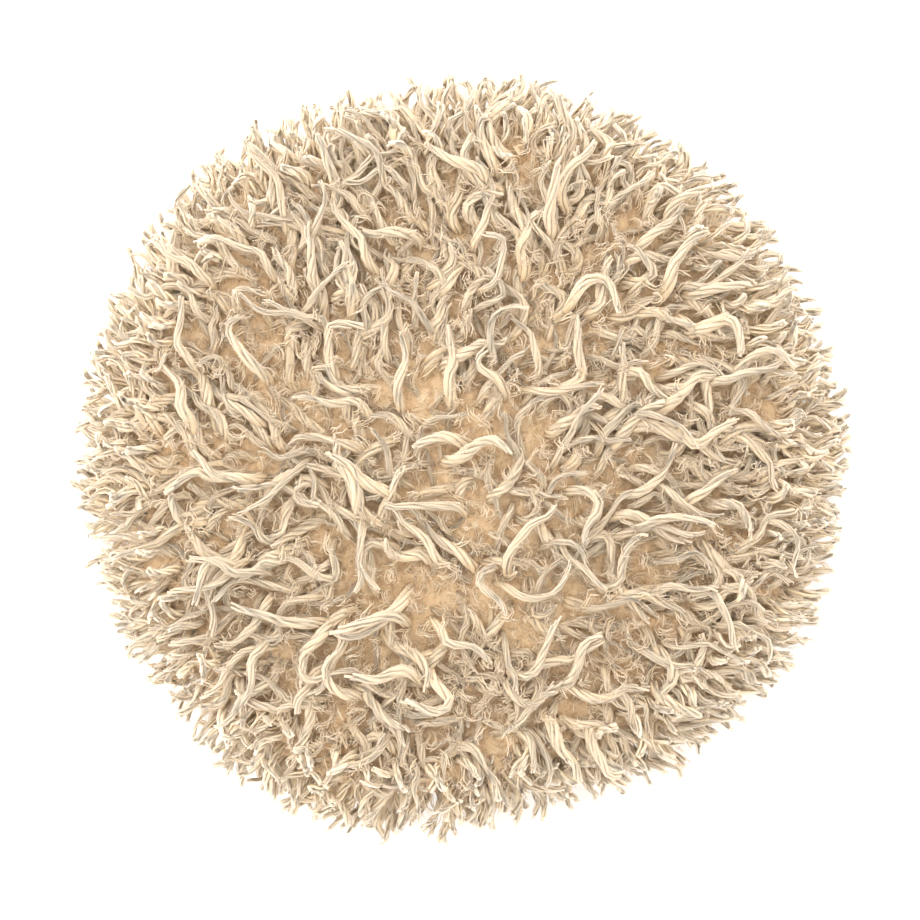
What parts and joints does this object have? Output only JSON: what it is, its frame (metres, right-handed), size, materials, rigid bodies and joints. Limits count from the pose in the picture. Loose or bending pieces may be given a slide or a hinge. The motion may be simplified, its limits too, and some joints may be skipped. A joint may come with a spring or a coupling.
{
  "type": "wool pile polishing wheel",
  "caption": "Round domed polishing wheel: a shaggy twisted-wool pad held by hook and loop on a moulded foam backing plate with a threaded steel hub.",
  "frame": {"origin": "on the spindle axis, at the hub's rear face, which seats on the spindle's shoulder", "axes": "+Z along the spindle axis, out of the pile's working face; +X along the hub's spanner flats"},
  "size_m": [0.2, 0.2, 0.064],
  "materials": {
    "hub_steel": "satin",
    "rivet_steel": "satin",
    "disc_nylon": "matte",
    "clamp_steel": "satin",
    "plate_foam": "matte",
    "hook_nylon": "matte",
    "loop_nylon": "matte",
    "pad_latex": "matte",
    "primary_weave": "matte",
    "binding_tape": "matte",
    "edge_thread": "matte",
    "short_wool": "matte",
    "wool_yarn": "matte"
  },
  "bodies": {
    "backing_plate": {"threaded_hub": "hub_steel", "rivets": "rivet_steel", "support_disc": "disc_nylon", "clamp_ring": "clamp_steel", "cushion_foam": "plate_foam", "hook_disc": "hook_nylon"},
    "wool_pad": {"loop_cloth": "loop_nylon", "latex_coat": "pad_latex", "primary_cloth": "primary_weave", "edge_binding": "binding_tape", "edge_stitches": "edge_thread", "undercoat": "short_wool", "pile_course_01": "wool_yarn", "pile_course_02": "wool_yarn", "pile_course_03": "wool_yarn", "pile_course_04": "wool_yarn", "pile_course_05": "wool_yarn", "pile_course_06": "wool_yarn", "pile_course_07": "wool_yarn", "pile_course_08": "wool_yarn", "pile_course_09": "wool_yarn", "pile_course_10": "wool_yarn", "pile_course_11": "wool_yarn", "pile_course_12": "wool_yarn", "pile_course_13": "wool_yarn", "pile_course_14": "wool_yarn", "pile_course_15": "wool_yarn", "pile_course_16": "wool_yarn"}
  },
  "joints": [
    {"name": "pad_peel", "type": "slide", "parent": "backing_plate", "child": "wool_pad", "axis": [0, 0, 1], "range_m": [0, 0.06]}
  ]
}
